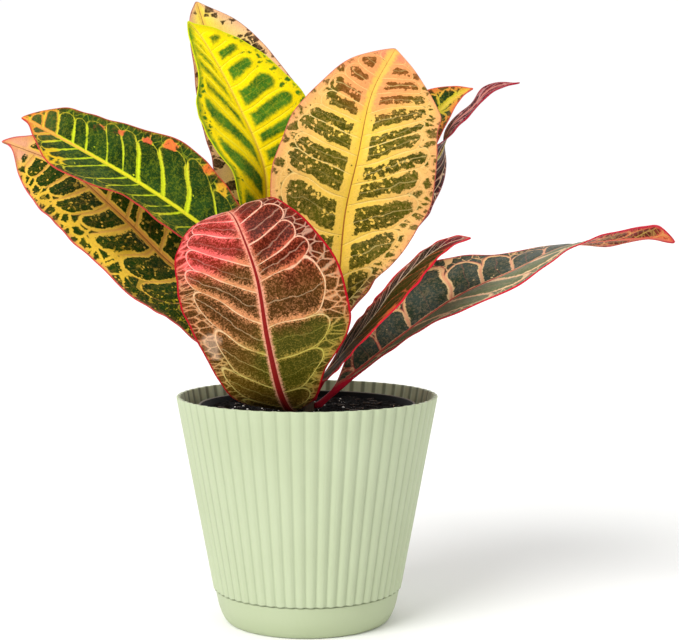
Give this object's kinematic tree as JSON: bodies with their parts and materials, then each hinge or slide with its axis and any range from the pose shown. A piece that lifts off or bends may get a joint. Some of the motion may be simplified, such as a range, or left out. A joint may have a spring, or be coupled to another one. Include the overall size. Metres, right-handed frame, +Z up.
{
  "type": "potted croton plant",
  "caption": "Potted croton house plant: broad variegated leaves on one stem, rooted in a nursery pot inside a fluted flared planter that stands in a smooth saucer.",
  "frame": {"origin": "centre of the saucer's flat underside, where the plant stands", "axes": "+Z up; -Y towards the side seen in the picture, +X to its right"},
  "size_m": [0.3826, 0.1912, 0.3612],
  "materials": {
    "sage_plastic": "matte moulded plastic",
    "saucer_plastic": "matte moulded plastic",
    "black_plastic": "thin black plastic",
    "potting_soil": "dark crumbs with white grains",
    "bark": "grey-brown bark with leaf scars",
    "leaf_red": "glossy leaf with coloured veins",
    "leaf_peach": "glossy leaf with coloured veins",
    "leaf_yellow": "glossy leaf with coloured veins",
    "leaf_cream": "glossy leaf with coloured veins",
    "leaf_green": "glossy leaf with coloured veins",
    "leaf_orange": "glossy leaf with coloured veins",
    "leaf_dark_green": "glossy leaf with coloured veins",
    "leaf_dark_red": "glossy leaf with coloured veins",
    "leaf_olive": "glossy leaf with coloured veins",
    "leaf_purple": "glossy leaf with coloured veins",
    "leaf_back_green": "glossy leaf with coloured veins",
    "leaf_back_red": "glossy leaf with coloured veins",
    "leaf_young": "glossy leaf with coloured veins"
  },
  "bodies": {
    "root": {"pot": "sage_plastic", "saucer": "saucer_plastic", "nursery_pot": "black_plastic", "soil": "potting_soil", "stem": "bark", "leaf_red_front": "leaf_red", "leaf_peach_centre": "leaf_peach", "leaf_yellow_left": "leaf_yellow", "leaf_cream_back": "leaf_cream", "leaf_green_left": "leaf_green", "leaf_orange_left": "leaf_orange", "leaf_long_right": "leaf_dark_green", "leaf_narrow_right": "leaf_dark_red", "leaf_small_green_right": "leaf_olive", "leaf_purple_twisted": "leaf_purple", "leaf_back_right": "leaf_back_green", "leaf_back_left": "leaf_back_red", "leaf_young_apex": "leaf_young"}
  },
  "joints": []
}
